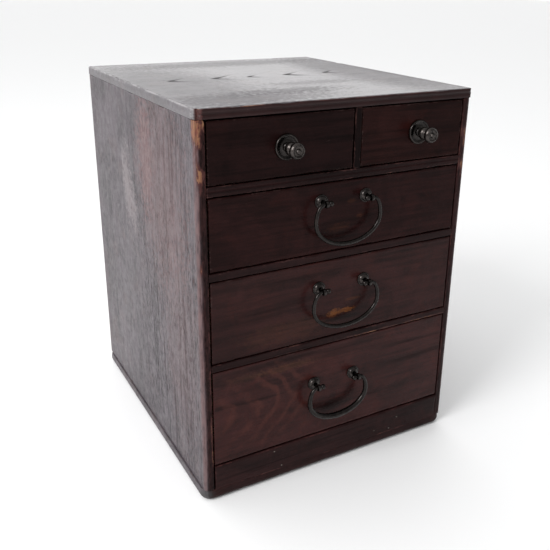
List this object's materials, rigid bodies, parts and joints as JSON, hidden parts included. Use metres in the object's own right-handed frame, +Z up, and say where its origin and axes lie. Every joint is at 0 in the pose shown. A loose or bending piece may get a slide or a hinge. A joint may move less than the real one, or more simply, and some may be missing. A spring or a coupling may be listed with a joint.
{
  "type": "miniature chest of drawers",
  "caption": "Small table-top chest of drawers in dark lacquered wood, with sliding drawers, turned iron knobs and hinged iron bail pulls.",
  "frame": {"origin": "on the surface it stands on, under the middle of the whole object's box, knobs included", "axes": "+Z up; the drawer fronts face -Y; +X to the right seen from the front"},
  "size_m": [0.2084, 0.2426, 0.27],
  "materials": {
    "lacquer_wood": "worn dark red-brown lacquer, satin",
    "plain_wood": "unfinished softwood, aged",
    "peg_wood": "bamboo, unfinished",
    "iron": "blackened iron, hand-worn"
  },
  "bodies": {
    "case": {"back_panel": "plain_wood", "back_panel_pegs": "peg_wood", "base_board": "lacquer_wood", "base_board_pegs": "peg_wood", "base_rail": "lacquer_wood", "case_floor": "plain_wood", "divider": "lacquer_wood", "left_side": "lacquer_wood", "right_side": "lacquer_wood", "shelf_lower": "lacquer_wood", "shelf_middle": "lacquer_wood", "shelf_upper": "lacquer_wood", "top_board": "lacquer_wood"},
    "small_left_drawer": {"small_left_back": "plain_wood", "small_left_bottom": "plain_wood", "small_left_front": "lacquer_wood", "small_left_knob": "iron", "small_left_left_wall": "plain_wood", "small_left_nails": "peg_wood", "small_left_plate": "iron", "small_left_right_wall": "plain_wood", "small_left_washer": "iron"},
    "small_right_drawer": {"small_right_back": "plain_wood", "small_right_bottom": "plain_wood", "small_right_front": "lacquer_wood", "small_right_knob": "iron", "small_right_left_wall": "plain_wood", "small_right_nails": "peg_wood", "small_right_plate": "iron", "small_right_right_wall": "plain_wood", "small_right_washer": "iron"},
    "upper_drawer": {"upper_back": "plain_wood", "upper_bottom": "plain_wood", "upper_front": "lacquer_wood", "upper_left_wall": "plain_wood", "upper_nails": "peg_wood", "upper_posts": "iron", "upper_right_wall": "plain_wood", "upper_rosettes": "iron"},
    "middle_drawer": {"middle_back": "plain_wood", "middle_bottom": "plain_wood", "middle_front": "lacquer_wood", "middle_left_wall": "plain_wood", "middle_nails": "peg_wood", "middle_posts": "iron", "middle_right_wall": "plain_wood", "middle_rosettes": "iron"},
    "lower_drawer": {"lower_back": "plain_wood", "lower_bottom": "plain_wood", "lower_front": "lacquer_wood", "lower_left_wall": "plain_wood", "lower_nails": "peg_wood", "lower_posts": "iron", "lower_right_wall": "plain_wood", "lower_rosettes": "iron"},
    "upper_bail": {"upper_bail": "iron"},
    "middle_bail": {"middle_bail": "iron"},
    "lower_bail": {"lower_bail": "iron"}
  },
  "joints": [
    {"name": "small_left_slide", "type": "slide", "parent": "case", "child": "small_left_drawer", "axis": [0, -1, 0], "range_m": [0, 0.165]},
    {"name": "small_right_slide", "type": "slide", "parent": "case", "child": "small_right_drawer", "axis": [0, -1, 0], "range_m": [0, 0.165]},
    {"name": "upper_slide", "type": "slide", "parent": "case", "child": "upper_drawer", "axis": [0, -1, 0], "range_m": [0, 0.165]},
    {"name": "middle_slide", "type": "slide", "parent": "case", "child": "middle_drawer", "axis": [0, -1, 0], "range_m": [0, 0.165]},
    {"name": "lower_slide", "type": "slide", "parent": "case", "child": "lower_drawer", "axis": [0, -1, 0], "range_m": [0, 0.165]},
    {"name": "upper_bail_hinge", "type": "hinge", "parent": "upper_drawer", "child": "upper_bail", "pos_m": [0.0003, -0.11255, 0.2045], "axis": [-1, 0, 0], "range_deg": [-10, 188]},
    {"name": "middle_bail_hinge", "type": "hinge", "parent": "middle_drawer", "child": "middle_bail", "pos_m": [0.0012, -0.11255, 0.1435], "axis": [-1, 0, 0], "range_deg": [-10, 188]},
    {"name": "lower_bail_hinge", "type": "hinge", "parent": "lower_drawer", "child": "lower_bail", "pos_m": [-0.0022, -0.11255, 0.0708], "axis": [-1, 0, 0], "range_deg": [-10, 188]}
  ]
}
